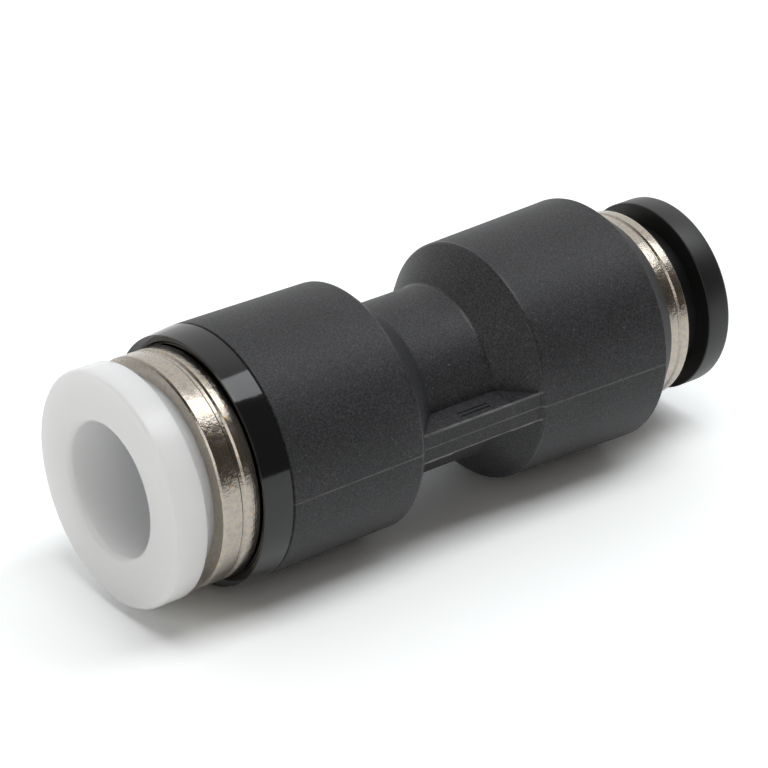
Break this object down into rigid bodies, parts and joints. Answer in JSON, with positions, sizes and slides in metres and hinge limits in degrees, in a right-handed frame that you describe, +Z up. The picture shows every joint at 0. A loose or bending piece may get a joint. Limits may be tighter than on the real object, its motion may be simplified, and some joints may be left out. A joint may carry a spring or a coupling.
{
  "type": "push-in reducer fitting",
  "caption": "Straight push-in tube reducer: a moulded body with a ribbed neck joins a wide and a narrow tube port, each with a metal guide ring and a release sleeve to press.",
  "frame": {"origin": "on the floor under the middle of the fitting's length, as it lies on its two barrels", "axes": "+X along the tube axis from the large port to the small port, +Y and -Y through the two side ribs, +Z up"},
  "size_m": [0.034, 0.0125, 0.0125],
  "materials": {
    "body_resin": "PBT resin, moulded in a finely spark-eroded tool",
    "cap_resin": "PBT resin, moulded against polished steel",
    "sleeve_white": "natural acetal, moulded, satin and slightly milky",
    "sleeve_black": "black acetal, moulded, satin",
    "guide_metal": "turned brass, nickel-plated",
    "claw_steel": "spring stainless sheet, stamped",
    "backing_resin": "glass-filled resin, moulded",
    "seal_rubber": "nitrile rubber, moulded"
  },
  "bodies": {
    "fitting": {"body": "body_resin", "cap_ring": "cap_resin", "guide_ring_large": "guide_metal", "lock_claw_large": "claw_steel", "claw_backing_large": "backing_resin", "seal_large": "seal_rubber", "guide_ring_small": "guide_metal", "lock_claw_small": "claw_steel", "claw_backing_small": "backing_resin", "seal_small": "seal_rubber"},
    "large_release": {"release_sleeve_large": "sleeve_white"},
    "small_release": {"release_sleeve_small": "sleeve_black"}
  },
  "joints": [
    {"name": "large_release_press", "type": "slide", "parent": "fitting", "child": "large_release", "axis": [1, 0, 0], "range_m": [0, 0.0009], "stiffness_N_per_m": 2000},
    {"name": "small_release_press", "type": "slide", "parent": "fitting", "child": "small_release", "axis": [-1, 0, 0], "range_m": [0, 0.0012], "stiffness_N_per_m": 2000}
  ]
}
